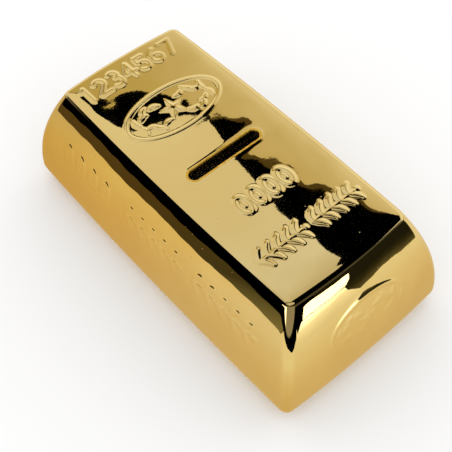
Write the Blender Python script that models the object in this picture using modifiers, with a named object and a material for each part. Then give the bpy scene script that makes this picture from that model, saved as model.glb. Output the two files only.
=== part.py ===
"""Ceramic coin bank in the shape of a cast gold ingot, with a pull-out stopper and four felt pads.

Metres, +Z up. The origin is on the surface that the bank stands on, under the middle of the body.
+X runs along the body towards the end wall that carries the seal; +Z points to the face with the slot.
"""

import math

import bmesh
import bpy
from mathutils import Matrix, Vector

# Body. Lengths and widths are those of the sharp-edged ingot, before its edges are rounded.
BASE_LENGTH = 0.180
BASE_WIDTH = 0.092
TOP_LENGTH = 0.1485
TOP_WIDTH = 0.064
BODY_HEIGHT = 0.059
WALL_SWELL = 0.0044  # how far every wall bellies out at mid height
WALL_BOW = 0.0013  # how far every wall bows out at the middle of its length
BASE_CORNER = 0.0047  # radius of the upright corners at the base
TOP_CORNER = 0.0040  # and at the top
SMALLEST_CORNER = 0.0020
BOTTOM_EDGE = 0.0083
TOP_EDGE = 0.0025
WALL = 0.005  # thickness of the cast ceramic

# Underside.
RECESS_DEPTH = 0.003
RIM_WIDTH = 0.020  # from the sharp edge of the base in to the recess
RECESS_CORNER = 0.008

# Cavity.
CAVITY_LOW_EDGE = 0.006
CAVITY_TOP_EDGE = 0.003

# Coin slot, across the top face and a little off its middle.
SLOT_X = 0.0018
SLOT_Y = -0.0016
SLOT_LENGTH = 0.0380
SLOT_WIDTH = 0.0054

# Raised oval ridges of the two seals.
SEAL_X = -0.0336
SEAL_Y = -0.0008
SEAL_HALF_LENGTH = 0.0244
SEAL_HALF_WIDTH = 0.0126
RIDGE_RADIUS = 0.0013
RIDGE_SINK = 0.0005  # how far the middle of a ridge lies under the surface
END_SEAL_HEIGHT = 0.031  # above the base of the body
END_SEAL_HALF_LENGTH = 0.0210
END_SEAL_HALF_WIDTH = 0.0120
END_SEAL_SINK = 0.0010

# Stopper, in the middle of the underside.
HOLE_RADIUS = 0.0190
FIT_GAP = 0.0003  # clearance between neighbouring pieces
FLANGE_RADIUS = 0.0230
FLANGE_THICKNESS = 0.0020
NECK_LENGTH = 0.0130
NECK_TIP_RADIUS = 0.0172
RIB_RADIUS = HOLE_RADIUS - FIT_GAP
RIB_HEIGHT = 0.0016
RIB_OFFSETS = (0.0012, 0.0052)  # of the two sealing ribs, above the flange
STOPPER_WALL = 0.0025
STOPPER_FLOOR = 0.0050
GRIP_RADIUS = 0.0130
GRIP_DEPTH = 0.0024
GRIP_BAR = 0.0060

# Felt pads, stuck near the corners of the rim.
PAD_RADIUS = 0.0050
PAD_THICKNESS = 0.0012
PAD_EDGE = 0.0003
PAD_X = 0.0755
PAD_Y = 0.0315

BODY_BASE = PAD_THICKNESS + FIT_GAP  # height of the body's base above the ground

# Fineness of the curved shapes.
EDGE_STEPS = 5
WALL_LEVELS = 7
CORNER_STEPS = 5
WALL_COLUMNS = 8
ROUND_STEPS = 48
PAD_STEPS = 24
SMOOTH_ANGLE = math.radians(35)
MERGE = 0.00001
CUT_MARGIN = 0.002  # how far a cutter runs past the face that it opens

GOLD = (0.80, 0.61, 0.29, 1.0)
GREY_RUBBER = (0.07, 0.07, 0.075, 1.0)
BLACK_FELT = (0.03, 0.03, 0.032, 1.0)


def clear_scene():
    for obj in list(bpy.data.objects):
        bpy.data.objects.remove(obj, do_unlink=True)


def new_collection(name):
    collection = bpy.data.collections.new(name)
    bpy.context.scene.collection.children.link(collection)
    return collection


def material(name, colour, roughness, metallic):
    made = bpy.data.materials.new(name)
    made.use_nodes = True
    shader = made.node_tree.nodes["Principled BSDF"]
    shader.inputs["Base Color"].default_value = colour
    shader.inputs["Roughness"].default_value = roughness
    shader.inputs["Metallic"].default_value = metallic
    made.diffuse_color = colour
    return made


def add_object(name, mesh, collection, finish=None):
    """An object round a bmesh, smooth except where its faces meet at more than the smooth angle."""
    data = bpy.data.meshes.new(name)
    mesh.to_mesh(data)
    mesh.free()
    data.shade_smooth()
    data.set_sharp_from_angle(angle=SMOOTH_ANGLE)
    if finish:
        data.materials.append(finish)
    obj = bpy.data.objects.new(name, data)
    collection.objects.link(obj)
    return obj


def hide_tool(obj):
    """Marks an object that only cuts or joins another."""
    obj.hide_render = True
    obj.display_type = "WIRE"


def boolean(obj, tool, operation="DIFFERENCE"):
    modifier = obj.modifiers.new(f"{operation.lower()} {tool.name}", "BOOLEAN")
    modifier.operation = operation
    modifier.object = tool
    modifier.solver = "EXACT"
    hide_tool(tool)


def half_sizes(height):
    """Half length and half width of the sharp-edged body at a height above its base."""
    share = height / BODY_HEIGHT
    swell = 4 * WALL_SWELL * share * (1 - share)
    half_x = (BASE_LENGTH + (TOP_LENGTH - BASE_LENGTH) * share) / 2 + swell
    half_y = (BASE_WIDTH + (TOP_WIDTH - BASE_WIDTH) * share) / 2 + swell
    return half_x, half_y


def wall_lean(height):
    """Angle from the vertical at which the walls lean inwards, the mean of end walls and long walls."""
    taper = (BASE_LENGTH - TOP_LENGTH + BASE_WIDTH - TOP_WIDTH) / 4
    swell_slope = 4 * WALL_SWELL * (1 - 2 * height / BODY_HEIGHT)
    return math.atan((taper - swell_slope) / BODY_HEIGHT)


def section(half_x, half_y, corner, bow, height):
    """One level of the body: a rounded rectangle whose four walls bow out, anticlockwise from above."""
    points = []
    sides = ((1, 1, half_y - corner), (-1, 1, half_x - corner), (-1, -1, half_y - corner), (1, -1, half_x - corner))
    for turn, (side_x, side_y, half_run) in enumerate(sides):
        centre = Vector((side_x * (half_x - corner), side_y * (half_y - corner), height))
        for step in range(CORNER_STEPS + 1):
            angle = math.pi / 2 * (turn + step / CORNER_STEPS)
            points.append(centre + corner * Vector((math.cos(angle), math.sin(angle), 0)))
        next_run = sides[(turn + 1) % 4][2]
        out = Vector((math.cos(math.pi / 2 * (turn + 1)), math.sin(math.pi / 2 * (turn + 1)), 0))
        along = Vector((-out.y, out.x, 0))
        start = points[-1]
        for step in range(1, WALL_COLUMNS):
            share = step / WALL_COLUMNS
            points.append(start + along * 2 * next_run * share + out * 4 * bow * share * (1 - share))
    return points


def shell_levels(low, high, low_edge, high_edge, offset):
    """Sections of a shell inside the walls by offset, from low to high, with rounded lower and upper edges."""
    lean = wall_lean(high)
    wall_top = high - high_edge * (1 - math.sin(lean))
    levels = []
    for step in range(EDGE_STEPS + 1):
        angle = math.pi / 2 * (1 - step / EDGE_STEPS)
        levels.append((low + low_edge * (1 - math.sin(angle)), low + low_edge, low_edge * (1 - math.cos(angle))))
    for step in range(1, WALL_LEVELS):
        height = low + low_edge + (wall_top - low - low_edge) * step / WALL_LEVELS
        levels.append((height, height, 0.0))
    for step in range(EDGE_STEPS + 1):
        angle = lean + (math.pi / 2 - lean) * step / EDGE_STEPS
        inset = high_edge * (math.cos(lean) - math.cos(angle))
        levels.append((high - high_edge * (1 - math.sin(angle)), wall_top, inset))
    sections = []
    for height, wall_height, inset in levels:
        half_x, half_y = half_sizes(wall_height)
        corner = BASE_CORNER + (TOP_CORNER - BASE_CORNER) * wall_height / BODY_HEIGHT
        corner = max(corner - offset - inset, SMALLEST_CORNER)
        inwards = offset + inset
        sections.append(section(half_x - inwards, half_y - inwards, corner, WALL_BOW, BODY_BASE + height))
    return sections


def loft(name, sections, collection, finish=None):
    """A closed solid through sections that hold equally many points."""
    mesh = bmesh.new()
    loops = [[mesh.verts.new(point) for point in level] for level in sections]
    count = len(loops[0])
    for lower, upper in zip(loops, loops[1:]):
        for index in range(count):
            following = (index + 1) % count
            mesh.faces.new((lower[index], lower[following], upper[following], upper[index]))
    mesh.faces.new(list(reversed(loops[0])))
    mesh.faces.new(loops[-1])
    return add_object(name, mesh, collection, finish)


def cylinder(name, radius, low, high, steps, collection, finish=None):
    mesh = bmesh.new()
    lift = Matrix.Translation((0, 0, (low + high) / 2))
    bmesh.ops.create_cone(
        mesh, cap_ends=True, segments=steps, radius1=radius, radius2=radius, depth=high - low, matrix=lift
    )
    return add_object(name, mesh, collection, finish)


def box(name, size, centre, collection):
    mesh = bmesh.new()
    place = Matrix.Translation(centre) @ Matrix.Diagonal((*size, 1))
    bmesh.ops.create_cube(mesh, size=1, matrix=place)
    return add_object(name, mesh, collection)


def recess_cutter(collection):
    """The shallow hollow in the underside, inside the rim that the body stands on."""
    half_x = BASE_LENGTH / 2 - RIM_WIDTH
    half_y = BASE_WIDTH / 2 - RIM_WIDTH
    heights = (BODY_BASE - CUT_MARGIN, BODY_BASE + RECESS_DEPTH)
    return loft("recess", [section(half_x, half_y, RECESS_CORNER, 0, height) for height in heights], collection)


def slot_cutter(collection):
    """The coin slot: a bar with round ends, which runs across the body and through the top wall."""
    half_run = (SLOT_LENGTH - SLOT_WIDTH) / 2
    levels = []
    for height in (BODY_BASE + BODY_HEIGHT - WALL - CUT_MARGIN, BODY_BASE + BODY_HEIGHT + CUT_MARGIN):
        level = []
        for end in (1, -1):
            for step in range(ROUND_STEPS // 4 + 1):
                angle = math.pi * step / (ROUND_STEPS // 4) + (0 if end > 0 else math.pi)
                x = SLOT_X + SLOT_WIDTH / 2 * math.cos(angle)
                y = SLOT_Y + end * half_run + SLOT_WIDTH / 2 * math.sin(angle)
                level.append(Vector((x, y, height)))
        levels.append(level)
    return loft("slot", levels, collection)


def oval_ridge(name, half_length, half_width, place, collection):
    """A raised oval: a round bead along an ellipse, whose long axis is the local Y."""
    curve = bpy.data.curves.new(name, "CURVE")
    curve.dimensions = "3D"
    curve.bevel_depth = RIDGE_RADIUS
    curve.bevel_resolution = 2
    spline = curve.splines.new("POLY")
    spline.points.add(ROUND_STEPS - 1)
    for index, point in enumerate(spline.points):
        angle = 2 * math.pi * index / ROUND_STEPS
        point.co = (half_width * math.cos(angle), half_length * math.sin(angle), 0, 1)
    spline.use_cyclic_u = True
    guide = bpy.data.objects.new(f"{name} path", curve)
    guide.matrix_world = place
    collection.objects.link(guide)
    bpy.context.view_layer.update()
    mesh = bpy.data.meshes.new_from_object(guide.evaluated_get(bpy.context.evaluated_depsgraph_get()))
    bead = bpy.data.objects.new(name, mesh)
    bead.matrix_world = place
    collection.objects.link(bead)
    bpy.data.objects.remove(guide, do_unlink=True)
    return bead


def top_seal_place():
    return Matrix.Translation((SEAL_X, SEAL_Y, BODY_BASE + BODY_HEIGHT - RIDGE_SINK))


def end_seal_place():
    """On the end wall, leaning with it."""
    lean = wall_lean(END_SEAL_HEIGHT)
    normal = Vector((math.cos(lean), 0, math.sin(lean)))
    half_x = half_sizes(END_SEAL_HEIGHT)[0] + WALL_BOW
    centre = Vector((half_x, 0, BODY_BASE + END_SEAL_HEIGHT)) - normal * END_SEAL_SINK
    return Matrix.Translation(centre) @ Matrix.Rotation(math.pi / 2 - lean, 4, "Y")


def make_body(parts, tools, gold):
    """The slip-cast shell: walls, cavity, recessed underside, stopper hole, coin slot and seal ridges."""
    body = loft("ceramic_body", shell_levels(0, BODY_HEIGHT, BOTTOM_EDGE, TOP_EDGE, 0), parts, gold)
    floor = RECESS_DEPTH + WALL
    cavity_levels = shell_levels(floor, BODY_HEIGHT - WALL, CAVITY_LOW_EDGE, CAVITY_TOP_EDGE, WALL)
    boolean(body, loft("cavity", cavity_levels, tools))
    boolean(body, recess_cutter(tools))
    hole_top = BODY_BASE + floor + CUT_MARGIN
    boolean(body, cylinder("stopper hole", HOLE_RADIUS, BODY_BASE - CUT_MARGIN, hole_top, ROUND_STEPS, tools))
    boolean(body, slot_cutter(tools))
    top_ridge = oval_ridge("top seal", SEAL_HALF_LENGTH, SEAL_HALF_WIDTH, top_seal_place(), tools)
    boolean(body, top_ridge, "UNION")
    end_ridge = oval_ridge("end seal", END_SEAL_HALF_LENGTH, END_SEAL_HALF_WIDTH, end_seal_place(), tools)
    boolean(body, end_ridge, "UNION")
    return body


def stopper_profile():
    """Half section of the stopper from the middle of its hollow, over the rim and down to its underside.

    Heights are measured from the face of the flange that meets the body.
    """
    tip = NECK_LENGTH
    inside = NECK_TIP_RADIUS - STOPPER_WALL
    points = [(0, STOPPER_FLOOR - FLANGE_THICKNESS), (inside, STOPPER_FLOOR - FLANGE_THICKNESS)]
    points += [(inside, tip - 0.0005), (inside + 0.0005, tip), (NECK_TIP_RADIUS - 0.0008, tip)]
    points.append((NECK_TIP_RADIUS, tip - 0.0008))
    neck = RIB_RADIUS - 0.0005
    for offset in reversed(RIB_OFFSETS):
        points += [(neck, offset + RIB_HEIGHT), (RIB_RADIUS, offset + 0.7 * RIB_HEIGHT)]
        points += [(RIB_RADIUS, offset + 0.3 * RIB_HEIGHT), (neck, offset)]
    points += [(neck, 0), (FLANGE_RADIUS - 0.0005, 0), (FLANGE_RADIUS, -0.0005)]
    points += [(FLANGE_RADIUS, -FLANGE_THICKNESS + 0.0007), (FLANGE_RADIUS - 0.0007, -FLANGE_THICKNESS)]
    points.append((0, -FLANGE_THICKNESS))
    return points


def make_stopper(parts, tools, rubber):
    """A soft one-piece plug, hollow above, with a finger grip in its underside; its origin is on its slide."""
    mesh = bmesh.new()
    line = [mesh.verts.new((radius, 0, height)) for radius, height in stopper_profile()]
    for upper, lower in zip(line, line[1:]):
        mesh.edges.new((upper, lower))
    stopper = add_object("rubber_stopper", mesh, parts, rubber)
    stopper.location = (0, 0, BODY_BASE + RECESS_DEPTH - FIT_GAP)
    turn = stopper.modifiers.new("turn", "SCREW")
    turn.steps = ROUND_STEPS
    turn.render_steps = ROUND_STEPS
    turn.use_merge_vertices = True
    turn.merge_threshold = MERGE
    turn.use_smooth_shade = True

    underside = BODY_BASE + RECESS_DEPTH - FIT_GAP - FLANGE_THICKNESS
    grip = cylinder("grip", GRIP_RADIUS, underside - CUT_MARGIN, underside + GRIP_DEPTH, ROUND_STEPS, tools)
    bar_size = (4 * GRIP_RADIUS, GRIP_BAR, 4 * CUT_MARGIN + 4 * GRIP_DEPTH)
    boolean(grip, box("grip bar", bar_size, (0, 0, underside), tools))
    boolean(stopper, grip)
    return stopper


def make_pads(parts, felt):
    """Four round pads under the corners of the rim: front is +X and left is +Y."""
    pads = []
    for end, side_x in (("front", 1), ("rear", -1)):
        for side, side_y in (("left", 1), ("right", -1)):
            pad = cylinder(f"foot_pad_{end}_{side}", PAD_RADIUS, 0, PAD_THICKNESS, PAD_STEPS, parts, felt)
            pad.location = (side_x * PAD_X, side_y * PAD_Y, 0)
            edge = pad.modifiers.new("edge", "BEVEL")
            edge.width = PAD_EDGE
            edge.segments = 2
            edge.limit_method = "ANGLE"
            pads.append(pad)
    return pads


def main():
    clear_scene()
    parts = new_collection("ingot coin bank")
    tools = new_collection("cutters")
    make_body(parts, tools, material("gold glaze", GOLD, 0.08, 1.0))
    make_stopper(parts, tools, material("grey rubber", GREY_RUBBER, 0.6, 0.0))
    make_pads(parts, material("black felt", BLACK_FELT, 0.95, 0.0))


main()
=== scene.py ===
"""Looks of the ingot coin bank: gold-glazed shell with raised marks, stopper, pads and studio."""

import math

import bpy
import numpy as np
from mathutils import Matrix, Vector, noise


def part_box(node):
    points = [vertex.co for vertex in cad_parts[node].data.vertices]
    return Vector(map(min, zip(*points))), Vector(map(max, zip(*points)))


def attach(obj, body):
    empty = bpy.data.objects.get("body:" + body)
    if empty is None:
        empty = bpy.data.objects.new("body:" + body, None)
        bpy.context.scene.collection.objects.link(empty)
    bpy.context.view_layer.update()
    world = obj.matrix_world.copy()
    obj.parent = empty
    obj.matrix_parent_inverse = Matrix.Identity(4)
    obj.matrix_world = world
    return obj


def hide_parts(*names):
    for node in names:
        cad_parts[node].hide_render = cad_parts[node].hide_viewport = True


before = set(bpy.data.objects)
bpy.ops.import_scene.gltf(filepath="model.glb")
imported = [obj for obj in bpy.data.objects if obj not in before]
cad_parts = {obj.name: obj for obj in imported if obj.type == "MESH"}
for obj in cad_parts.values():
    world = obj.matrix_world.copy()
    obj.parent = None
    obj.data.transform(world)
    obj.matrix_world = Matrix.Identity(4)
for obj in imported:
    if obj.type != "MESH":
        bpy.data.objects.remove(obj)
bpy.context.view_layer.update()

MM = 0.001

# The shell, as in the CAD model, in millimetres above its own base.
BASE_LENGTH, BASE_WIDTH = 180.0, 92.0
TOP_LENGTH, TOP_WIDTH = 148.5, 64.0
BODY_HEIGHT = 59.0
BODY_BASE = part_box("ceramic_body")[0].z / MM
WALL_SWELL = 4.4
WALL_BOW = 1.3
BASE_CORNER, TOP_CORNER, SMALLEST_CORNER = 4.7, 4.0, 2.0
BOTTOM_EDGE, TOP_EDGE = 8.3, 2.5
WALL = 5.0
RECESS_DEPTH, RIM_WIDTH, RECESS_CORNER = 3.0, 20.0, 8.0
RECESS_EDGE = 1.0
HOLE_RADIUS = 19.0

# The stopper, with heights above the face of its flange that meets the shell.
FLANGE_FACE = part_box("rubber_stopper")[0].z / MM + 2.0
FLANGE_RADIUS, FLANGE_THICKNESS = 23.0, 2.0
NECK_LENGTH, NECK_TIP, NECK_RADIUS = 13.0, 17.2, 18.2
RIB_RADIUS, RIB_HEIGHT, RIB_OFFSETS = 18.7, 1.6, (5.2, 1.2)
STOPPER_WALL, STOPPER_FLOOR = 2.5, 3.0
GRIP_RADIUS, GRIP_DEPTH, GRIP_BAR = 13.0, 2.4, 6.0
PADS = ("foot_pad_front_left", "foot_pad_front_right", "foot_pad_rear_left", "foot_pad_rear_right")

# The coin slot and its rolled lip.
SLOT_CENTRE = np.array((1.8, -1.6))
SLOT_LENGTH, SLOT_WIDTH = 38.0, 5.4
SLOT_BLOCK = np.array((6.1, 22.6))  # half sizes of the patch of the top face that is meshed round the slot
LIP_HEIGHT, LIP_REACH, LIP_EDGE = 0.07, 1.3, 0.5

# Raised marks on the top face: each row runs along Y and its marks stand up towards -X.
NUMERAL_ROW = {"x": -65.2, "y": (-24.8, 21.2), "size": 9.2}
ROSETTE_ROW = {"x": 27.2, "y": (-13.0, 9.4), "size": 12.2}
GARLAND_ROW = {"x": 51.6, "y": (-27.0, 27.0), "size": 10.4}
SEAL_CENTRE = (-33.6, -0.8)
SEAL_SIZE = (24.4, 12.6)  # half length and half width of the crest of its ridge
END_SEAL_CENTRE = (1.0, 31.0)
END_SEAL_SIZE = (20.4, 11.4)
SIDE_ROW = {"height": 35.2, "size": 10.6, "rosette": -62.0, "step": 9.6,
            "twigs": ((-18.0, 20.0), (28.0, 66.0))}

# Half width and height of each kind of raised stroke, and radius and height of the stars.
NUMERAL_STROKE = (1.6, 0.26)
ROSETTE_STROKE = (1.75, 0.28)
TWIG_STROKE = (1.75, 0.30)
WREATH_STROKE = (1.5, 0.30)
SEAL_STROKE = (1.25, 0.30)
STAR = (6.8, 0.32)
SIDE_STROKE = (2.1, 0.235)
END_WREATH_STROKE = (1.8, 0.20)
END_SEAL_STROKE = (1.6, 0.24)
END_STAR = (6.2, 0.22)

# How far the glaze has sagged at the border of the top face, and how far in from the border it starts.
SAG, SAG_REACH = 0.09, 2.6

# Mesh cells, in millimetres.
FINE, COARSE = 0.42, 0.85
SIDE_FINE, SIDE_COARSE = 0.55, 2.2


# ---------------------------------------------------------------- raised marks

def arc(centre, radius, start, end, count=10):
    """Points along an arc, angles in degrees."""
    angles = np.radians(np.linspace(start, end, count))
    return np.stack([centre[0] + radius * np.cos(angles), centre[1] + radius * np.sin(angles)], 1)


def line(*points):
    return np.array(points, float)


def numeral(digit):
    """Strokes of a plain numeral in a box one unit high, centred on the origin."""
    if digit == 1:
        return [line((-0.12, 0.32), (0.04, 0.5), (0.04, -0.5))]
    if digit == 2:
        return [np.vstack([arc((0, 0.22), 0.28, 160, -35), line((-0.28, -0.5), (0.32, -0.5))])]
    if digit == 3:
        return [np.vstack([arc((0, 0.25), 0.25, 140, -80), arc((0, -0.23), 0.29, 80, -140)])]
    if digit == 4:
        return [line((0.12, -0.5), (0.12, 0.5), (-0.3, -0.18), (0.34, -0.18))]
    if digit == 5:
        return [np.vstack([line((0.26, 0.5), (-0.2, 0.5), (-0.24, 0.08)), arc((0, -0.2), 0.3, 120, -140)])]
    if digit == 6:
        return [np.vstack([arc((0.3, -0.1), 0.6, 110, 165, 6), arc((0, -0.22), 0.28, 170, 530, 16)])]
    return [line((-0.3, 0.5), (0.32, 0.5), (-0.08, -0.5))]


def rosette():
    """An oval ring round a bead, one unit high."""
    turn = np.linspace(0, 2 * math.pi, 21)
    ring = np.stack([0.235 * np.cos(turn), 0.40 * np.sin(turn)], 1)
    return [ring, line((0, -0.06), (0, 0.06))]


def leaf(root, angle, length):
    """A short curved leaf: a stroke whose third column is its width, widest in the middle."""
    share = np.linspace(0, 1, 7)
    run, across = length * share, 0.14 * length * np.sin(math.pi * share)
    turn = np.radians(angle)
    x = root[0] + run * math.cos(turn) - across * math.sin(turn)
    y = root[1] + run * math.sin(turn) + across * math.cos(turn)
    return np.stack([x, y, 0.62 + 0.55 * np.sin(math.pi * share ** 0.8)], 1)


def garland(length, pairs):
    """A straight leafy twig, one unit high and length long, with a berry at its tip."""
    stem = line((0, 0), (length - 0.14, 0))
    strokes = [np.column_stack([stem, (0.6, 0.6)]), line((length, 0), (length, 0.01))]
    for pair in range(pairs):
        root = length * (pair + 0.1) / pairs
        strokes += [leaf((root, 0.06 * side), 52 * side, 0.52) for side in (1, -1)]
    return strokes


def emblem():
    """The open wreath of leaves round the star of a seal, two units long and one unit high."""
    strokes = []
    for side in (-1, 1):
        for half in (-1, 1):
            for step in range(4):
                turn = math.radians(6 + 18 * step)
                root = (side * 0.73 * math.cos(turn), half * 0.29 * math.sin(turn))
                aim = math.degrees(math.atan2(half * 0.29 * math.cos(turn), -side * 0.73 * math.sin(turn)))
                strokes.append(leaf(root, aim + side * half * (24 if step % 2 else -22), 0.19))
    return strokes


def placed(strokes, origin, size, right, up):
    """Strokes scaled to a size and turned onto a face, whose right and up are given in the face's plane."""
    basis = np.array([right, up], float) * size
    origin = np.array(origin)
    return [np.column_stack([origin + stroke[:, :2] @ basis, stroke[:, 2:]]) for stroke in strokes]


def ridge_height(points, strokes, half_width, height):
    """Height of puffed strokes above a face, at points of its plane. Strokes that meet flow together."""
    total = np.zeros(len(points))
    for stroke in strokes:
        path = stroke[:, :2]
        width = stroke[:, 2] if stroke.shape[1] > 2 else np.ones(len(path))
        low, high = path.min(0) - 2 * half_width, path.max(0) + 2 * half_width
        near = np.nonzero(((points > low) & (points < high)).all(1))[0]
        if not len(near):
            continue
        here = points[near]
        best = np.full(len(near), np.inf)
        for start, end, wide, next_wide in zip(path, path[1:], width, width[1:]):
            run = end - start
            share = np.clip((here - start) @ run / max(run @ run, 1e-9), 0, 1)
            away = np.linalg.norm(here - start - share[:, None] * run, axis=1)
            best = np.minimum(best, away / (half_width * (wide + (next_wide - wide) * share)))
        total[near] += (1 - np.clip(best, 0, 1) ** 2) ** 8
    return height * total ** 0.25


def star_height(points, centre, right, up, radius, height):
    """A faceted five-pointed star with soft edges."""
    offset = points - np.array(centre)
    across, upward = offset @ np.array(right, float), offset @ np.array(up, float)
    away = np.hypot(across, upward)
    turn = (np.arctan2(across, upward) + math.pi / 5) % (2 * math.pi / 5) - math.pi / 5
    tip = np.array((radius, 0.0))
    notch = 0.42 * radius * np.array((math.cos(math.pi / 5), math.sin(math.pi / 5)))
    edge = (notch - tip) / np.linalg.norm(notch - tip)
    x, y = away * np.cos(turn) - tip[0], np.abs(away * np.sin(turn)) - tip[1]
    inside = np.clip((y * edge[0] - x * edge[1]) / (0.30 * radius) + 0.15, 0, 1)
    return height * inside ** 2 * (3 - 2 * inside)


def oval_ridge(points, centre, size, half_width, height):
    """A ridge along an ellipse."""
    offset = (points - centre) / size
    radius = np.linalg.norm(offset, axis=1)
    slope = np.linalg.norm(offset / size, axis=1) / np.maximum(radius, 1e-6)
    away = np.abs(radius - 1) / np.maximum(slope, 1e-6)
    return height * (1 - np.clip(away / half_width, 0, 1) ** 2) ** 2


# Right and up of the marks, in the plane of the top face and in the planes of the walls.
TOP_RIGHT, TOP_UP = (0, 1), (-1, 0)
SIDE_RIGHT, SIDE_UP = (1, 0), (0, 1)


def faded(points, start, end):
    """Rises from 0.35 to 1 along Y, for marks that come up fainter at one end of a row."""
    return 0.35 + 0.65 * np.clip((points[:, 1] - start) / (end - start), 0, 1)


def numeral_row():
    """Strokes of the plain numerals 1 to 7."""
    strokes = []
    for index, y in enumerate(np.linspace(*NUMERAL_ROW["y"], 7)):
        origin = (NUMERAL_ROW["x"], y)
        strokes += placed(numeral(index + 1), origin, NUMERAL_ROW["size"], TOP_RIGHT, TOP_UP)
    return strokes


def rosette_row():
    """Strokes of the four rosettes beside the slot."""
    strokes = []
    for y in np.linspace(*ROSETTE_ROW["y"], 4):
        strokes += placed(rosette(), (ROSETTE_ROW["x"], y), ROSETTE_ROW["size"], TOP_RIGHT, TOP_UP)
    return strokes


def twig_row():
    """Two twigs end to end, with 4 mm between them."""
    start, end = GARLAND_ROW["y"]
    length = (end - start) / 2 - 2
    strokes = []
    for first in (start, end - length):
        twig = garland(length / GARLAND_ROW["size"], 5)
        strokes += placed(twig, (GARLAND_ROW["x"], first), GARLAND_ROW["size"], TOP_RIGHT, TOP_UP)
    return strokes


def top_relief(points):
    """Height of all the marks on the top face."""
    seal = placed(emblem(), SEAL_CENTRE, SEAL_SIZE[0], TOP_RIGHT, TOP_UP)
    height = ridge_height(points, numeral_row(), *NUMERAL_STROKE) * faded(points, 26, -4)
    height += ridge_height(points, rosette_row(), *ROSETTE_STROKE)
    height += ridge_height(points, twig_row(), *TWIG_STROKE) * faded(points, -27, -16)
    height += ridge_height(points, seal, *WREATH_STROKE)
    height += star_height(points, SEAL_CENTRE, TOP_RIGHT, TOP_UP, *STAR)
    return height + oval_ridge(points, SEAL_CENTRE, SEAL_SIZE[::-1], *SEAL_STROKE)


def side_relief(points):
    """Softer marks along the long wall at -Y: four rosettes and two twigs."""
    size, height = SIDE_ROW["size"], SIDE_ROW["height"]
    strokes = []
    for index in range(4):
        x = SIDE_ROW["rosette"] + SIDE_ROW["step"] * index
        strokes += placed(rosette(), (x, height), size, SIDE_RIGHT, SIDE_UP)
    for first, last in SIDE_ROW["twigs"]:
        twig = garland((last - first) / size, 5)
        strokes += placed(twig, (first, height), size, SIDE_RIGHT, SIDE_UP)
    return ridge_height(points, strokes, *SIDE_STROKE)


def end_relief(points):
    """The soft seal on the end wall at +X."""
    wreath = placed(emblem(), END_SEAL_CENTRE, END_SEAL_SIZE[0], SIDE_RIGHT, SIDE_UP)
    height = ridge_height(points, wreath, *END_WREATH_STROKE)
    height += oval_ridge(points, END_SEAL_CENTRE, END_SEAL_SIZE, *END_SEAL_STROKE)
    return height + star_height(points, END_SEAL_CENTRE, SIDE_RIGHT, SIDE_UP, *END_STAR)


# ---------------------------------------------------------------- the shell

def half_sizes(height):
    share = height / BODY_HEIGHT
    swell = 4 * WALL_SWELL * share * (1 - share)
    half_x = (BASE_LENGTH + (TOP_LENGTH - BASE_LENGTH) * share) / 2 + swell
    half_y = (BASE_WIDTH + (TOP_WIDTH - BASE_WIDTH) * share) / 2 + swell
    return half_x, half_y


def wall_lean(height):
    taper = (BASE_LENGTH - TOP_LENGTH + BASE_WIDTH - TOP_WIDTH) / 4
    swell_slope = 4 * WALL_SWELL * (1 - 2 * height / BODY_HEIGHT)
    return math.atan((taper - swell_slope) / BODY_HEIGHT)


def level(height, wall_height, inset, corner=None):
    """(height, half length, half width, corner radius) of the shell's outline at one height."""
    half_x, half_y = half_sizes(wall_height)
    if corner is None:
        corner = BASE_CORNER + (TOP_CORNER - BASE_CORNER) * wall_height / BODY_HEIGHT - inset
    return height, half_x - inset, half_y - inset, max(corner, SMALLEST_CORNER)


def edge_levels(low, high, low_edge, high_edge, offset, heights):
    """Levels of a shell inside the walls by offset, from high to low, with rounded upper and lower edges."""
    lean = wall_lean(high)
    wall_top = high - high_edge * (1 - math.sin(lean))
    levels = []
    for angle in np.linspace(math.pi / 2, lean, 9):
        inset = offset + high_edge * (math.cos(lean) - math.cos(angle))
        levels.append(level(high - high_edge * (1 - math.sin(angle)), wall_top, inset))
    for height in heights(wall_top, low + low_edge):
        levels.append(level(height, height, offset))
    for angle in np.linspace(0, math.pi / 2, 9):
        inset = offset + low_edge * (1 - math.cos(angle))
        levels.append(level(low + low_edge * (1 - math.sin(angle)), low + low_edge, inset))
    return levels


def graded(start, *zones):
    """Positions from start through zones given as (end, cell size)."""
    positions = [start]
    for end, cell in zones:
        count = max(1, round(abs(end - positions[-1]) / cell))
        positions += list(np.linspace(positions[-1], end, count + 1)[1:])
    return np.array(positions)


def outline(half_x, half_y, corner, bow, side, share):
    """Points of a bowed rounded rectangle: side 0 to 3 is +X, +Y, -X, -Y, and share is -1 to 1 along it."""
    cut = corner * (1 - math.sqrt(0.5))
    along_y = share * (half_y - cut)
    along_x = share * (half_x - cut)
    on_end = side % 2 == 0
    run = np.where(on_end, along_y, along_x)
    straight = np.where(on_end, half_y, half_x) - corner
    past = np.maximum(np.abs(run) - straight, 0)
    reach = np.where(on_end, half_x, half_y) - corner + np.sqrt(corner**2 - past**2)
    reach = reach + bow * np.maximum(1 - (run / straight) ** 2, 0)
    sign = np.where((side == 0) | (side == 1), 1, -1)
    return np.where(on_end, sign * reach, run), np.where(on_end, run, sign * reach)


GOLD, CLAY, RIM = 0, 1, 2


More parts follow.
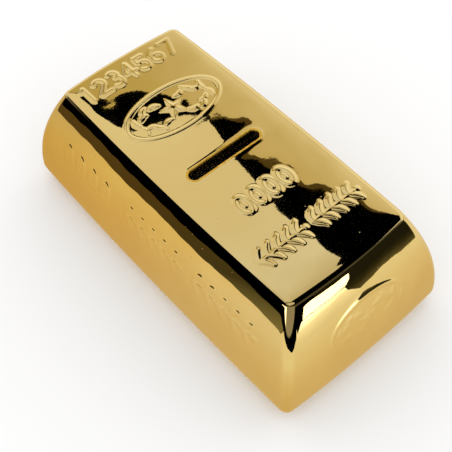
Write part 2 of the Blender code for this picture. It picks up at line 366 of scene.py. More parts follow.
class Shell:
    """Collects the points and faces of one closed mesh."""

    def __init__(self):
        self.points = []
        self.faces = []
        self.finishes = []
        self.count = 0

    def add(self, points):
        self.points.append(np.asarray(points, float))
        first = self.count
        self.count += len(points)
        return np.arange(first, self.count)

    def face(self, corners, finish=GOLD):
        self.faces.append(tuple(int(c) for c in corners))
        self.finishes.append(finish)

    def band(self, upper, lower, finish=GOLD):
        """Quads between two rings of equal count, the upper one first seen from outside."""
        for a, b, c, d in zip(upper, np.roll(upper, -1), np.roll(lower, -1), lower):
            self.face((a, d, c, b), finish)

    def stitch(self, upper, lower, finish=GOLD):
        """Triangles between two rings of unlike counts that start at the same place."""
        i = j = 0
        while i < len(upper) or j < len(lower):
            a, b = upper[i % len(upper)], lower[j % len(lower)]
            if j == len(lower) or (i < len(upper) and (i + 1) / len(upper) <= (j + 1) / len(lower)):
                i += 1
                self.face((a, b, upper[i % len(upper)]), finish)
            else:
                j += 1
                self.face((a, b, lower[j % len(lower)]), finish)


def ring_points(lvl, bow, side, share):
    height, half_x, half_y, corner = lvl
    x, y = outline(half_x, half_y, corner, bow, side, share)
    return np.stack([x, y, np.full(len(x), height)], 1)


def coarse_perimeter(count):
    """Sides and shares of a ring of count points, spread evenly along each side, from the middle of +X."""
    per = count // 8
    side = np.repeat([0, 1, 1, 2, 2, 3, 3, 0], per)
    half = np.arange(per) / per
    share = np.concatenate([half, 1 - half, -half, 1 - half, -half, -1 + half, half, -1 + half])
    return side, share


def top_grid(column_share, row_share, top_level):
    """Points of the top face, filled in between its four bowed sides."""
    _, half_x, half_y, corner = top_level
    sides = []
    for side, share in ((3, column_share), (1, column_share), (2, row_share), (0, row_share)):
        sides.append(np.stack(outline(half_x, half_y, corner, WALL_BOW, np.full(1, side), share), 1))
    lower, upper, left, right = sides
    s = ((column_share + 1) / 2)[:, None, None]
    t = ((row_share + 1) / 2)[None, :, None]
    grid = (1 - t) * lower[:, None] + t * upper[:, None] + (1 - s) * left[None] + s * right[None]
    grid -= (1 - s) * ((1 - t) * lower[0] + t * upper[0])
    grid -= s * ((1 - t) * lower[-1] + t * upper[-1])
    return grid


def shell_top(shell, columns, rows, top_level):
    """The top face with a gap round the slot. Returns its border ring and the ring round the gap."""
    grid = top_grid(columns / np.abs(columns[0]), rows / np.abs(rows[0]), top_level)
    middle_row, middle_column = grid[:, len(rows) // 2, 0], grid[len(columns) // 2, :, 1]
    i0, i1 = (int(np.abs(middle_row - SLOT_CENTRE[0] - k * SLOT_BLOCK[0]).argmin()) for k in (-1, 1))
    j0, j1 = (int(np.abs(middle_column - SLOT_CENTRE[1] - k * SLOT_BLOCK[1]).argmin()) for k in (-1, 1))
    ids = np.full(grid.shape[:2], -1)
    keep = np.ones(ids.shape, bool)
    keep[i0 + 1:i1, j0 + 1:j1] = False
    ids[keep] = shell.add(np.column_stack([grid[keep], np.full(keep.sum(), top_level[0])]))
    last_column, last_row = len(columns) - 1, len(rows) - 1
    for i in range(last_column):
        for j in range(last_row):
            if i0 <= i < i1 and j0 <= j < j1:
                continue
            shell.face((ids[i, j], ids[i + 1, j], ids[i + 1, j + 1], ids[i, j + 1]))
    return grid_border(ids, 0, last_column, 0, last_row), grid_border(ids, i0, i1, j0, j1)


def grid_border(ids, i0, i1, j0, j1):
    """The ring round a block of a grid, anticlockwise from the middle of its +X side."""
    ring = [ids[i1, j] for j in range(j0, j1)] + [ids[i, j1] for i in range(i1, i0, -1)]
    ring += [ids[i0, j] for j in range(j1, j0, -1)] + [ids[i, j0] for i in range(i0, i1)]
    return np.roll(np.array(ring), -((j1 - j0) // 2))


def border_shares(columns, rows):
    """Sides and shares of the border ring, in the order of grid_border."""
    column_share = columns / np.abs(columns[0])
    row_share = rows / np.abs(rows[0])
    across, up = len(columns) - 1, len(rows) - 1
    side = np.repeat([0, 1, 2, 3], [up, across, up, across])
    share = np.concatenate([row_share[:-1], column_share[:0:-1], row_share[:0:-1], column_share[:-1]])
    return np.roll(side, -(up // 2)), np.roll(share, -(up // 2))


def slot_rings(shell, gap, top):
    """The lip and walls of the coin slot, from the ring round the gap down to the inside of the top."""
    points = np.concatenate(shell.points)[gap][:, :2]
    offset = points - SLOT_CENTRE
    half_run = (SLOT_LENGTH - SLOT_WIDTH) / 2
    spine = np.stack([np.zeros(len(offset)), np.clip(offset[:, 1], -half_run, half_run)], 1)
    out = offset - spine
    out /= np.linalg.norm(out, axis=1)[:, None]
    ring = gap
    radius = SLOT_WIDTH / 2

    def outline_at(distance, height):
        place = SLOT_CENTRE + spine + out * (radius + distance)
        return np.column_stack([place, np.full(len(place), height)])

    far = outline_at(2.9, top)
    for share in (0.33, 0.66):
        between = np.column_stack([points * (1 - share) + far[:, :2] * share, far[:, 2]])
        lower = shell.add(between)
        shell.band(lower, ring)
        ring = lower
    for distance in (2.9, 2.5, 2.1, 1.75, 1.4, 1.1):
        lower = shell.add(outline_at(distance, top))
        shell.band(lower, ring)
        ring = lower
    # The rolled lip and the top of the slot walls take the rim finish, an amber painted reflection.
    for angle in np.linspace(0, math.pi / 2, 8):
        drop = LIP_EDGE * (1 - math.cos(angle))
        lower = shell.add(outline_at(LIP_EDGE * (1 - math.sin(angle)), top - drop))
        shell.band(lower, ring, RIM)
        ring = lower
    for drop in (1.0, 1.8, 3.2, 4.4, WALL):
        lower = shell.add(outline_at(0.0, top - drop))
        shell.band(lower, ring, RIM if drop < 1.5 else GOLD)
        ring = lower
    return ring


def circle_points(radius, height, count):
    angles = 2 * math.pi * np.arange(count) / count
    return np.stack([radius * np.cos(angles), radius * np.sin(angles), np.full(count, height)], 1)


def build_shell():
    """The whole shell as points in millimetres, faces, and which faces are bare clay."""
    shell = Shell()
    top = BODY_HEIGHT

    def outer_heights(high, low):
        return graded(high, (43.0, 1.3), (27.5, SIDE_FINE), (low, SIDE_COARSE))[1:-1]

    levels = edge_levels(0, BODY_HEIGHT, BOTTOM_EDGE, TOP_EDGE, 0, outer_heights)
    edge_x, edge_y = levels[0][1] - 0.6, levels[0][2] - 0.6
    columns = graded(
        -edge_x, (-71, FINE), (-59.5, FINE), (-48.8, COARSE), (-18.6, FINE),
        (SLOT_CENTRE[0] - SLOT_BLOCK[0], COARSE), (SLOT_CENTRE[0] + SLOT_BLOCK[0], COARSE),
        (19.0, COARSE), (35.4, FINE), (45.2, COARSE), (58.2, FINE), (70, 1.0), (edge_x, FINE * 1.4),
    )
    rows = graded(-edge_y, (edge_y, FINE))
    border, gap = shell_top(shell, columns, rows, levels[0])
    side, share = border_shares(columns, rows)
    ring = border
    for lvl in levels[1:]:
        lower = shell.add(ring_points(lvl, WALL_BOW, side, share))
        shell.band(ring, lower)
        ring = lower

    side, share = coarse_perimeter(320)
    rim = shell.add(ring_points(level(0, BOTTOM_EDGE, BOTTOM_EDGE + 0.7, 3.0), WALL_BOW, side, share))
    shell.stitch(ring, rim)
    ring = rim
    floor_level = RECESS_DEPTH
    half_x, half_y = BASE_LENGTH / 2 - RIM_WIDTH, BASE_WIDTH / 2 - RIM_WIDTH
    rim_to_floor = ((RECESS_EDGE, 0.0), (0.3, 0.3), (0.0, RECESS_EDGE), (0.0, 2.0), (-0.3, 2.7),
                    (-RECESS_EDGE, floor_level))
    for grow, height in rim_to_floor:
        finish = CLAY if height > RECESS_EDGE else GOLD
        lvl = (height, half_x + grow, half_y + grow, RECESS_CORNER + grow)
        lower = shell.add(ring_points(lvl, 0, side, share))
        shell.band(ring, lower, finish)
        ring = lower
    lower = shell.add(circle_points(HOLE_RADIUS + 0.6, floor_level, 160))
    shell.stitch(ring, lower, CLAY)
    ring = lower
    for radius, height in ((HOLE_RADIUS + 0.15, floor_level + 0.15), (HOLE_RADIUS, floor_level + 0.6),
                           (HOLE_RADIUS, floor_level + WALL - 0.6), (HOLE_RADIUS + 0.6, floor_level + WALL)):
        lower = shell.add(circle_points(radius, height, 160))
        shell.band(ring, lower, CLAY)
        ring = lower
    return shell, ring, gap


def inner_skin(shell, ring, gap):
    """The cavity, from the stopper hole over its floor, walls and ceiling to the inside of the slot."""
    low, high = RECESS_DEPTH + WALL, BODY_HEIGHT - WALL
    levels = edge_levels(low, high, 6.0, 3.0, WALL, lambda top, bottom: graded(top, (bottom, 4.0))[1:-1])
    side, share = coarse_perimeter(160)
    for lvl in reversed(levels):
        lower = shell.add(ring_points(lvl, WALL_BOW, side, share))
        shell.band(ring, lower, CLAY)
        ring = lower
    slot = slot_rings(shell, gap, BODY_HEIGHT)
    shell.stitch(ring, slot, CLAY)


def vertex_normals(points, faces):
    normals = np.zeros_like(points)
    for size in (3, 4):
        group = np.array([f for f in faces if len(f) == size])
        if not len(group):
            continue
        corner = points[group]
        flat = np.cross(corner[:, 2] - corner[:, 0], corner[:, size - 1] - corner[:, 1])
        if size == 3:
            flat = np.cross(corner[:, 1] - corner[:, 0], corner[:, 2] - corner[:, 0])
        for k in range(size):
            np.add.at(normals, group[:, k], flat)
    return normals / np.maximum(np.linalg.norm(normals, axis=1), 1e-12)[:, None]


def lip_height(points):
    offset = points - SLOT_CENTRE
    half_run = (SLOT_LENGTH - SLOT_WIDTH) / 2
    spine = np.clip(offset[:, 1], -half_run, half_run)
    away = np.hypot(offset[:, 0], offset[:, 1] - spine) - SLOT_WIDTH / 2
    return LIP_HEIGHT * np.exp(-((np.maximum(away - 0.6, 0) / LIP_REACH) ** 2))


def droop(points):
    """How far the glaze has sagged near the border of the top face and on the edge below it."""
    flat_x, flat_y = TOP_LENGTH / 2 - 1.9, TOP_WIDTH / 2 - 1.9
    beyond = np.maximum(np.abs(points[:, 0]) - flat_x, np.abs(points[:, 1]) - flat_y)
    over = np.hypot(beyond.clip(0), BODY_HEIGHT - points[:, 2])
    return SAG * (np.exp(beyond.clip(None, 0) / SAG_REACH) + over / SAG_REACH * np.exp(-over / 5))


def waves(points):
    """The slow unevenness of a cast and glazed wall."""
    waves_mm = ((41.0, (1.0, 0.35, 0.2), 0.4, 0.0035), (29.0, (0.6, -1.0, 0.5), 1.9, 0.003),
                (19.0, (-0.3, 0.9, 1.1), 3.1, 0.003), (13.0, (1.1, 0.8, -0.6), 5.2, 0.003),
                (8.5, (1.0, -0.4, 0.9), 0.9, 0.0025), (6.1, (0.2, 1.0, -0.9), 2.6, 0.002))
    height = np.zeros(len(points))
    for length, direction, phase, slope in waves_mm:
        direction = np.array(direction) / np.linalg.norm(direction)
        height += slope * length / 6.283 * np.sin(2 * math.pi * (points @ direction) / length + phase)
    return height


def shaped_points(shell, outer_count):
    """The shell's points with the waves, sag, lip and raised marks of its outer skin."""
    points = np.concatenate(shell.points)
    normals = vertex_normals(points, shell.faces)
    half_x, half_y = half_sizes(points[:, 2].clip(0, BODY_HEIGHT))
    on_top = points[:, 2] > BODY_HEIGHT - 1.2
    outside = (np.arange(len(points)) < outer_count) & (points[:, 2] > 0.5)
    outside &= np.maximum(np.abs(points[:, 0]) / half_x, np.abs(points[:, 1]) / half_y) > 0.93
    shift = np.zeros(len(points))
    skin = outside | on_top
    ramp = np.clip(points[:, 2] / 12, 0, 1)
    shift[skin] += (waves(points) * ramp)[skin]
    shift[skin] -= droop(points)[skin]
    top = on_top & (normals[:, 2] > 0.3)
    shift[top] += top_relief(points[top][:, :2]) + lip_height(points[top][:, :2])
    side = outside & ~on_top & (normals[:, 1] < -0.7)
    shift[side] += side_relief(points[side][:, [0, 2]])
    end = outside & ~on_top & (normals[:, 0] > 0.7)
    shift[end] += end_relief(points[end][:, [1, 2]])
    return points + normals * shift[:, None]


def mesh_object(name, points, faces, materials, slots=None):
    mesh = bpy.data.meshes.new(name)
    mesh.from_pydata([tuple(p) for p in points], [], faces)
    for finish in materials:
        mesh.materials.append(finish)
    if slots is not None:
        mesh.polygons.foreach_set("material_index", np.array(slots, np.int32))
    mesh.shade_smooth()
    mesh.update()
    obj = bpy.data.objects.new(name, mesh)
    bpy.context.scene.collection.objects.link(obj)
    return obj


def make_shell(gold, clay, rim):
    shell, ring, gap = build_shell()
    outer_count = shell.count
    inner_skin(shell, ring, gap)
    points = shaped_points(shell, outer_count)
    points[:, 2] += BODY_BASE
    body = mesh_object("gold_shell", points * MM, shell.faces, [gold, clay, rim], shell.finishes)
    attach(body, "bank")
    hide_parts("ceramic_body")
    return body


# ---------------------------------------------------------------- stopper and pads

def lathe(profile, segments):
    """Points and faces of a closed solid turned round Z, from a profile that starts and ends on the axis."""
    turn = 2 * math.pi * np.arange(segments) / segments
    points = [(0.0, 0.0, profile[0][1])]
    for radius, height in profile[1:-1]:
        points += [(radius * math.cos(a), radius * math.sin(a), height) for a in turn]
    points.append((0.0, 0.0, profile[-1][1]))
    rings = len(profile) - 2
    faces = []
    for k in range(segments):
        following = (k + 1) % segments
        faces.append((0, 1 + k, 1 + following))
        for ring in range(rings - 1):
            a, b = 1 + ring * segments, 1 + (ring + 1) * segments
            faces.append((a + k, b + k, b + following, a + following))
        last = 1 + (rings - 1) * segments
        faces.append((last + k, len(points) - 1, last + following))
    return np.array(points), faces


def rounded(corner, radius, start, end, steps=5):
    """Profile points round a corner circle, angles in degrees."""
    angles = np.radians(np.linspace(start, end, steps))
    return [(corner[0] + radius * math.cos(a), corner[1] + radius * math.sin(a)) for a in angles]


def stopper_profile():
    """Half section of the stopper, from the middle of its hollow to the middle of its underside."""
    inside, tip, floor = NECK_TIP - STOPPER_WALL, NECK_LENGTH, STOPPER_FLOOR
    profile = [(0, floor)] + [(inside * k / 6, floor) for k in range(1, 6)]
    profile += rounded((inside - 1.2, floor + 1.2), 1.2, -90, 0)
    profile += rounded((inside + 0.6, tip - 0.6), 0.6, 180, 90)
    profile += rounded((NECK_TIP - 0.8, tip - 0.8), 0.8, 90, 10)
    for offset in RIB_OFFSETS:
        middle = offset + RIB_HEIGHT / 2
        profile += [(NECK_RADIUS, middle + 0.9)] + rounded((RIB_RADIUS - 0.5, middle), 0.5, 70, -70, 7)
        profile += [(NECK_RADIUS, middle - 0.75)]
    profile += rounded((NECK_RADIUS + 0.3, 0.3), 0.3, 200, 268, 4)
    profile += rounded((FLANGE_RADIUS - 0.5, -0.5), 0.5, 90, 0)
    profile += rounded((FLANGE_RADIUS - 0.7, 0.7 - FLANGE_THICKNESS), 0.7, 0, -90)
    profile += [(r, -FLANGE_THICKNESS) for r in np.arange(FLANGE_RADIUS - 1.1, 0.3, -0.35)]
    return profile + [(0, -FLANGE_THICKNESS)]


def grip_depth(points):
    """Depth of the two finger hollows in the stopper's underside, either side of the bar along X."""
    in_disc = (GRIP_RADIUS - np.hypot(points[:, 0], points[:, 1])) / 0.9
    off_bar = (np.abs(points[:, 1]) - GRIP_BAR / 2) / 0.9
    share = np.clip(np.minimum(in_disc, off_bar), 0, 1)
    return GRIP_DEPTH * share ** 2 * (3 - 2 * share)


def make_stopper(rubber):
    points, faces = lathe(stopper_profile(), 144)
    under = points[:, 2] < 0.01 - FLANGE_THICKNESS
    points[under, 2] += grip_depth(points[under])
    points[:, 2] += FLANGE_FACE
    plug = mesh_object("rubber_plug", points * MM, faces, [rubber])
    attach(plug, "stopper")
    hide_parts("rubber_stopper")


def make_pad(node, felt):
    """A die-cut felt disc with a slightly furry, rounded rim."""
    low, high = (np.array(corner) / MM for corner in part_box(node))
    middle, radius, thickness = (low + high) / 2, (high[0] - low[0]) / 2, high[2] - low[2]
    soft = 0.28
    profile = [(0, thickness)] + [(r, thickness) for r in np.linspace(0.6, radius - soft, 9)]
    profile += rounded((radius - soft, thickness - soft), soft, 75, 0, 4)
    profile += rounded((radius - soft, soft), soft, 0, -75, 4)
    profile += [(r, 0) for r in np.linspace(radius - soft, 0.6, 9)] + [(0, 0)]
    points, faces = lathe(profile, 72)
    for point in points:
        fuzz = noise.noise(Vector(point) * 3.1 + Vector(middle)) * 0.05
        point[:2] *= 1 + fuzz * (math.hypot(point[0], point[1]) / radius) ** 6 - 0.02
    points[:, 2] = points[:, 2].clip(0.0, thickness) + low[2]
    points[:, :2] += middle[:2]
    pad = mesh_object(f"felt_{node}", points * MM, faces, [felt])
    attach(pad, "bank")
    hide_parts(node)


# ---------------------------------------------------------------- materials

def new_material(name):
    made = bpy.data.materials.new(name)
    made.use_nodes = True
    nodes = made.node_tree.nodes
    return made, nodes, made.node_tree.links, nodes["Principled BSDF"]


def object_noise(nodes, links, scale, detail=2.0):
    place = nodes.new("ShaderNodeTexCoord")
    made = nodes.new("ShaderNodeTexNoise")
    made.inputs["Scale"].default_value = scale
    made.inputs["Detail"].default_value = detail
    links.new(place.outputs["Object"], made.inputs["Vector"])
    return made


def ramp(nodes, links, source, stops):
    """A colour ramp over a value, from (position, colour) pairs."""
    made = nodes.new("ShaderNodeValToRGB")
    elements = made.color_ramp.elements
    while len(elements) < len(stops):
        elements.new(0.5)
    for element, (position, colour) in zip(elements, stops):
        element.position = position
        element.color = (*colour, 1)
    links.new(source, made.inputs["Fac"])
    return made.outputs["Color"]


def mapped(nodes, links, source, low, high, to_low=0.0, to_high=1.0, smooth=False):
    """A value's range from low to high, spread over the range from to_low to to_high."""
    made = nodes.new("ShaderNodeMapRange")
    made.interpolation_type = "SMOOTHSTEP" if smooth else "LINEAR"
    for name, value in (("From Min", low), ("From Max", high), ("To Min", to_low), ("To Max", to_high)):
        made.inputs[name].default_value = value
    links.new(source, made.inputs["Value"])
    return made.outputs["Result"]


def calculated(nodes, links, operation, *values):
    """A math node over other nodes' outputs and plain numbers."""
    made = nodes.new("ShaderNodeMath")
    made.operation = operation
    for socket, value in zip(made.inputs, values):
        if isinstance(value, (int, float)):
            socket.default_value = value
        else:
            links.new(value, socket)
    return made.outputs["Value"]


def object_axes(nodes, links, kind="Object"):
    """The X, Y and Z outputs of a kind of coordinates."""
    place = nodes.new("ShaderNodeTexCoord")
    split = nodes.new("ShaderNodeSeparateXYZ")
    links.new(place.outputs[kind], split.inputs["Vector"])
    return split.outputs


def bump(nodes, links, height, distance, under=None):
    made = nodes.new("ShaderNodeBump")
    made.inputs["Distance"].default_value = distance
    links.new(height, made.inputs["Height"])
    if under:
        links.new(under, made.inputs["Normal"])
    return made.outputs["Normal"]


def gold_glaze():
    """Mirror gold over a clear glaze: faintly uneven, with a few pinholes."""
    made, nodes, links, shader = new_material("gold_glaze")
    shader.inputs["Metallic"].default_value = 1.0
    tint = object_noise(nodes, links, 45, 3)
    gold = ramp(nodes, links, tint.outputs["Fac"], [(0.3, (0.88, 0.65, 0.265)), (0.7, (0.92, 0.70, 0.30))])
    links.new(gold, shader.inputs["Base Color"])
    haze = object_noise(nodes, links, 160, 3)
    links.new(mapped(nodes, links, haze.outputs["Fac"], 0, 1, 0.008, 0.03), shader.inputs["Roughness"])
    ripple = object_noise(nodes, links, 520, 1.0)
    rippled = bump(nodes, links, ripple.outputs["Fac"], 0.0000018)
    place = nodes.new("ShaderNodeTexCoord")
    cells = nodes.new("ShaderNodeTexVoronoi")
    cells.inputs["Scale"].default_value = 190
    links.new(place.outputs["Object"], cells.inputs["Vector"])
    pit = ramp(nodes, links, cells.outputs["Distance"], [(0.0, (0, 0, 0)), (0.045, (1, 1, 1))])
    links.new(bump(nodes, links, pit, 0.00004, rippled), shader.inputs["Normal"])
    return made


def amber_reflection_rim():
    """The edge of the coin slot, tinted amber: a painted reflection of gold mirrored in gold, mottled by
    noise.
    """
    made, nodes, links, shader = new_material("amber_reflection_rim")
    shader.inputs["Metallic"].default_value = 1.0
    reflection_mottle = object_noise(nodes, links, 700, 2)
    amber = ramp(nodes, links, reflection_mottle.outputs["Fac"], [(0.35, (0.78, 0.42, 0.045)), (0.65, (1.0, 0.66, 0.13))])
    links.new(amber, shader.inputs["Base Color"])
    shader.inputs["Roughness"].default_value = 0.34
    return made


def bare_clay():
    """Unglazed earthenware: cream, chalky and a little stained."""
    made, nodes, links, shader = new_material("bare_clay")
    stain = object_noise(nodes, links, 60, 4)
    clay = ramp(nodes, links, stain.outputs["Fac"], [(0.3, (0.50, 0.42, 0.31)), (0.7, (0.62, 0.54, 0.42))])
    links.new(clay, shader.inputs["Base Color"])
    shader.inputs["Roughness"].default_value = 0.92
    grain = object_noise(nodes, links, 1400, 3)
    links.new(bump(nodes, links, grain.outputs["Fac"], 0.00006), shader.inputs["Normal"])
    return made


def stopper_rubber():
    """Dark moulded rubber with a faint bloom."""
    made, nodes, links, shader = new_material("stopper_rubber")
    bloom = object_noise(nodes, links, 90, 3)
    stops = [(0.35, (0.045, 0.045, 0.048)), (0.7, (0.085, 0.085, 0.09))]
    links.new(ramp(nodes, links, bloom.outputs["Fac"], stops), shader.inputs["Base Color"])
    shader.inputs["Roughness"].default_value = 0.55
    grain = object_noise(nodes, links, 1800, 2)
    links.new(bump(nodes, links, grain.outputs["Fac"], 0.00002), shader.inputs["Normal"])
    return made


def pad_felt():
    """Black pressed felt."""
    made, nodes, links, shader = new_material("pad_felt")
    fibres = object_noise(nodes, links, 2600, 4)
    stops = [(0.3, (0.012, 0.012, 0.013)), (0.75, (0.06, 0.06, 0.064))]
    links.new(ramp(nodes, links, fibres.outputs["Fac"], stops), shader.inputs["Base Color"])
    shader.inputs["Roughness"].default_value = 1.0
    shader.inputs["Sheen Weight"].default_value = 0.3
    links.new(bump(nodes, links, fibres.outputs["Fac"], 0.00025), shader.inputs["Normal"])
    return made


# ---------------------------------------------------------------- studio

def glow(name, stops, axis="X", span=(0.0, 1.0), mottle=0.0):
    """A glowing surface whose colour runs through stops along an axis, between the ends of span."""
    made = bpy.data.materials.new(name)
    made.use_nodes = True
    nodes, links = made.node_tree.nodes, made.node_tree.links
    nodes.clear()
    out = nodes.new("ShaderNodeOutputMaterial")
    light = nodes.new("ShaderNodeEmission")
    links.new(light.outputs["Emission"], out.inputs["Surface"])
    if len(stops) == 1:
        light.inputs["Color"].default_value = (*stops[0][1], 1)
        return made
    reach = mapped(nodes, links, object_axes(nodes, links)[axis], *span)
    patches = object_noise(nodes, links, 7, 2)
    shifted = calculated(nodes, links, "MULTIPLY_ADD", patches.outputs["Fac"], mottle, reach)
    links.new(ramp(nodes, links, shifted, stops), light.inputs["Color"])
    return made


def card(name, corners, finish):
    """A glowing sheet or panel that only the glaze mirrors."""
    mesh = bpy.data.meshes.new(name)
    mesh.from_pydata(corners, [], [tuple(range(len(corners)))])
    mesh.materials.append(finish)
    obj = bpy.data.objects.new(name, mesh)
    bpy.context.scene.collection.objects.link(obj)
    obj.visible_camera = False
    obj.visible_diffuse = False
    obj.visible_shadow = False


def flat(points, height):
    return [(x, y, height) for x, y in points]


CEILING = 1.0

# Outlines on the ceiling, from the left end of the softbox's rear edge to its right end.
SOFTBOX_EDGE = [
    (-1.10, 0.29), (-0.83, 0.36), (-0.76, 0.40), (-0.735, 0.46), (-0.70, 0.52), (-0.58, 0.505), (-0.51, 0.48),
    (-0.40, 0.485), (-0.26, 0.47), (-0.23, 0.44), (-0.21, 0.34), (-0.17, 0.20),
]
REAR_WALL_EDGE = [
    (-1.20, 0.30), (-0.89, 0.37), (-0.86, 0.41), (-0.84, 0.46), (-0.79, 0.505), (-0.70, 0.53), (-0.68, 0.555),
    (-0.63, 0.58), (-0.60, 0.58), (-0.585, 0.52), (-0.55, 0.535), (-0.525, 0.565), (-0.45, 0.55),
    (-0.42, 0.57), (-0.30, 0.625), (0.10, 0.72),
]
FRINGE_EDGE = [
    (-0.70, 0.525), (-0.68, 0.545), (-0.63, 0.565), (-0.60, 0.565), (-0.585, 0.51), (-0.56, 0.515),
    (-0.52, 0.54), (-0.46, 0.535), (-0.43, 0.545), (-0.36, 0.585), (-0.30, 0.615), (0.10, 0.71),
]
BACKDROP = [(-1.6, -0.6), (-1.5, 0.5), (-1.0, 1.2), (0.2, 1.5), (1.4, 1.5)]


def make_ceiling():
    """The softboxes and the rear wall overhead, and the pale backdrop round the far side."""
    pale = [(0.0, (0.80, 0.79, 0.70)), (0.5, (0.73, 0.71, 0.62)), (0.85, (0.74, 0.77, 0.82)),
            (1.0, (0.60, 0.58, 0.52))]
    softbox = glow("softbox", pale, "X", (-0.8, -0.2), 0.15)
    card("softbox", flat(SOFTBOX_EDGE + [(-0.17, -0.5), (-1.10, -0.5)], CEILING), softbox)
    card("softbox_right", flat([(-0.08, -0.6), (0.6, -0.6), (0.6, 0.28), (-0.08, 0.28)], CEILING), softbox)
    brown = glow("wall_fringe", [(0.0, (0.075, 0.055, 0.018))])
    card("wall_fringe", flat(FRINGE_EDGE + [(0.1, 1.0), (-0.7, 1.0)], CEILING + 0.002), brown)
    golden = [(0.0, (0.50, 0.42, 0.18)), (0.2, (0.55, 0.48, 0.25)), (0.32, (0.66, 0.61, 0.46)),
              (0.5, (0.80, 0.80, 0.74)), (1.0, (0.95, 0.97, 1.0))]
    wall = glow("rear_wall", golden, "Y", (0.40, 1.3), 0.16)
    far_corners = [(1.4, 1.0), (1.4, 1.6), (-1.7, 1.6), (-1.7, 0.3)]
    card("rear_wall", flat(REAR_WALL_EDGE + far_corners, CEILING + 0.001), wall)
    white = glow("backdrop", [(0.0, (0.85, 0.82, 0.72)), (1.0, (0.95, 0.97, 1.0))], "Z", (0.0, 1.0), 0.1)
    for index, (left, right) in enumerate(zip(BACKDROP, BACKDROP[1:])):
        corners = [(*left, -0.01), (*right, -0.01), (*right, CEILING), (*left, CEILING)]
        card(f"backdrop_{index}", corners, white)


PAPER_EDGE = [
    (-0.19, -0.165), (-0.03, -0.165), (0.01, -0.185), (0.035, -0.17), (0.045, -0.25), (0.07, -0.38),
    (0.10, -0.46), (0.30, -0.50), (0.40, -0.32), (0.34, -0.18), (0.26, -0.06), (0.205, 0.02), (0.205, 0.10),
    (0.20, 0.45), (0.20, 1.55), (-1.6, 1.55), (-1.6, -0.165),
]


def paper_glow():
    """The paper as the glaze mirrors it: warm at the left and pale at the right, and darker and warmer near
    the bank, a painted shadow and painted gold bounce of the bank.
    """
    stops = [(0.0, (0.60, 0.50, 0.29)), (0.25, (0.74, 0.60, 0.28)), (0.45, (0.77, 0.64, 0.36)),
             (0.65, (0.78, 0.73, 0.60)), (1.0, (0.84, 0.81, 0.66))]
    made = glow("paper", stops, "X", (-0.2, 0.16), 0.06)
    nodes, links = made.node_tree.nodes, made.node_tree.links
    axes = object_axes(nodes, links)
    # Distance from the bank's footprint: the paper turns darker and more orange close to the bank, painted
    # shadow and painted gold bounce light.
    gaps = []
    for axis, half in (("X", BASE_LENGTH / 2 * MM), ("Y", BASE_WIDTH / 2 * MM)):
        size = calculated(nodes, links, "ABSOLUTE", axes[axis])
        gaps.append(calculated(nodes, links, "SUBTRACT", size, half))
    away = mapped(nodes, links, calculated(nodes, links, "MAXIMUM", *gaps), 0, 0.11)
    bank_shadow_stops = [(0.0, (0.82, 0.68, 0.45)), (0.35, (0.92, 0.84, 0.72)), (0.8, (1, 1, 1)),
                  (1.0, (1.02, 1.02, 1.04))]
    bank_shadow_and_bounce = ramp(nodes, links, away, bank_shadow_stops)
    light = next(node for node in nodes if node.type == "EMISSION")
    blend = nodes.new("ShaderNodeMix")
    blend.data_type = "RGBA"
    blend.blend_type = "MULTIPLY"
    blend.inputs["Factor"].default_value = 1.0
    links.new(light.inputs["Color"].links[0].from_socket, blend.inputs["A"])
    links.new(bank_shadow_and_bounce, blend.inputs["B"])
    links.new(blend.outputs["Result"], light.inputs["Color"])
    return made


def make_paper_shades():
    """The dim floor beyond the paper, along the front and past the right end."""
    stops = [(0.0, (0.10, 0.07, 0.025)), (0.5, (0.08, 0.055, 0.019)), (0.8, (0.06, 0.052, 0.022)),
             (1.0, (0.20, 0.19, 0.10))]
    side_edge = [(-0.7, -0.225), (-0.20, -0.225), (-0.10, -0.232), (0.02, -0.275), (0.05, -0.33),
                 (0.05, -0.15), (-0.7, -0.15)]
    card("paper_shade_side", flat(side_edge, -0.0004), glow("paper_shade", stops, "X", (-0.25, 0.04), 0.1))
    stops = [(0.0, (0.30, 0.26, 0.13)), (0.25, (0.09, 0.08, 0.04)), (0.6, (0.03, 0.028, 0.013)),
             (1.0, (0.014, 0.014, 0.008))]
    end_edge = [(0.19, 0.04), (0.25, 0.06), (0.30, 0.10), (0.44, 0.10), (3.0, 0.9), (3.0, 3.0), (0.19, 3.0)]
    card("paper_shade_end", flat(end_edge, -0.0004), glow("paper_dusk", stops, "X", (0.197, 0.275), 0.1))


def make_end_reflectors():
    """Two white cards on the floor past the right end, with a narrow gap between them."""
    stops = [(0.0, (0.84, 0.81, 0.68)), (0.4, (1.1, 1.1, 1.0)), (0.8, (2.7, 2.7, 2.7)),
             (1.0, (3.0, 3.0, 3.0))]
    white = glow("end_reflector", stops, "X", (0.19, 0.32))
    outer = [(0.305, 0.037), (0.275, 0.082), (0.30, 0.10), (0.34, 0.12), (0.37, 0.12), (0.44, 0.095),
             (0.45, 0.08)]
    inner = [(0.185, -0.008), (0.30, 0.034), (0.27, 0.079), (0.24, 0.068), (0.185, 0.06)]
    card("end_reflector_outer", flat(outer, -0.0001), white)
    card("end_reflector_inner", flat(inner, -0.0001), white)


def make_far_window():
    """A window low in front of the bank, brightest in the middle."""
    dim, bright = (0.3, 0.29, 0.26), (3.0, 3.0, 3.0)
    window = glow("far_window", [(0.0, dim), (0.2, bright), (0.8, bright), (1.0, dim)], "X", (-0.40, 0.60))
    left, right, sill, head = (-0.32, -1.46), (0.58, -1.40), 0.10, 0.30
    card("far_window", [(*left, sill), (*right, sill), (*right, head), (*left, head)], window)


def make_table_reflections():
    """Everything at table height that the walls and edges of the bank mirror."""
    card("paper", flat(PAPER_EDGE, -0.0002), paper_glow())
    make_paper_shades()
    make_end_reflectors()
    make_far_window()


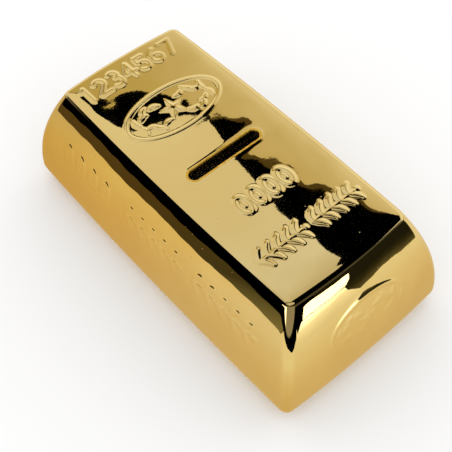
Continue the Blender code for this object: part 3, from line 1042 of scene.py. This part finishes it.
def room_glow(nodes, links):
    """Strength of the dim room that the glaze mirrors, by direction: each wall fades out upwards."""
    axes = object_axes(nodes, links, "Generated")

    def step(axis, start, end, height=1.0):
        return mapped(nodes, links, axes[axis], start, end, 0, height, True)

    def combined(operation, first, second):
        return calculated(nodes, links, operation, first, second)

    above_floor = step("Z", 0.0, 0.04)
    low = combined("MULTIPLY", above_floor, step("Z", 0.75, 0.35))
    high = combined("MULTIPLY", above_floor, step("Z", 0.90, 0.60))
    rear = combined("MULTIPLY", step("Y", 0.55, 0.66, 0.55), step("X", -0.3, 0.0))
    front = combined("MULTIPLY", step("Y", 0.20, -0.10, 0.30), step("X", -0.24, 0.30))
    right = step("X", 0.62, 0.78, 0.08)
    left = combined("MULTIPLY", step("X", -0.64, -0.76, 0.55), high)
    walls = combined("MAXIMUM", combined("MAXIMUM", rear, front), right)
    return combined("MAXIMUM", combined("MULTIPLY", walls, low), left)


def make_world():
    """Even white light on everything, and a dim room for the glaze to mirror."""
    world = bpy.data.worlds.new("studio")
    bpy.context.scene.world = world
    world.use_nodes = True
    nodes, links = world.node_tree.nodes, world.node_tree.links
    nodes.clear()
    pale = nodes.new("ShaderNodeBackground")
    pale.inputs["Color"].default_value = (1, 1, 1, 1)
    pale.inputs["Strength"].default_value = 1.12
    room = nodes.new("ShaderNodeBackground")
    room.inputs["Color"].default_value = (1.0, 0.96, 0.86, 1)
    links.new(room_glow(nodes, links), room.inputs["Strength"])
    path = nodes.new("ShaderNodeLightPath")
    mix = nodes.new("ShaderNodeMixShader")
    links.new(path.outputs["Is Glossy Ray"], mix.inputs["Fac"])
    links.new(pale.outputs[0], mix.inputs[1])
    links.new(room.outputs[0], mix.inputs[2])
    out = nodes.new("ShaderNodeOutputWorld")
    links.new(mix.outputs[0], out.inputs["Surface"])


def make_floor():
    """The plain white ground, which catches the bank's shadow and isn't mirrored."""
    mesh = bpy.data.meshes.new("floor")
    mesh.from_pydata(flat([(-4, -4), (4, -4), (4, 4), (-4, 4)], 0), [], [(0, 1, 2, 3)])
    paint, _, _, shader = new_material("floor")
    shader.inputs["Base Color"].default_value = (0.92, 0.92, 0.92, 1)
    shader.inputs["Roughness"].default_value = 1.0
    shader.inputs["Specular IOR Level"].default_value = 0.0
    mesh.materials.append(paint)
    floor = bpy.data.objects.new("floor", mesh)
    bpy.context.scene.collection.objects.link(floor)
    floor.visible_glossy = False


# The camera, in metres and degrees. Azimuth is turned from -Y towards +X.
LENS, SENSOR_WIDTH = 67.7, 36
AIM = Vector((0.01347, -0.01183, 0.03))
AZIMUTH, ELEVATION, ROLL, DISTANCE = 51.3, 55.08, -2.57, 0.375


def make_camera():
    """Looks down on the +X end and the long wall at -Y."""
    data = bpy.data.cameras.new("camera")
    data.lens = LENS
    data.sensor_width = SENSOR_WIDTH
    camera = bpy.data.objects.new("camera", data)
    bpy.context.scene.collection.objects.link(camera)
    azimuth, elevation = math.radians(AZIMUTH), math.radians(ELEVATION)
    level_reach = math.cos(elevation)
    back = Vector((math.sin(azimuth) * level_reach, -math.cos(azimuth) * level_reach, math.sin(elevation)))
    camera.rotation_mode = "QUATERNION"
    turn = Matrix.Rotation(math.radians(ROLL), 4, "Z").to_quaternion()
    camera.rotation_quaternion = (-back).to_track_quat("-Z", "Y") @ turn
    camera.location = AIM + back * DISTANCE
    bpy.context.scene.camera = camera


make_shell(gold_glaze(), bare_clay(), amber_reflection_rim())
make_stopper(stopper_rubber())
black_felt = pad_felt()
for pad_node in PADS:
    make_pad(pad_node, black_felt)
make_world()
make_floor()
make_ceiling()
make_table_reflections()
make_camera()
bpy.context.scene.view_settings.view_transform = "Standard"
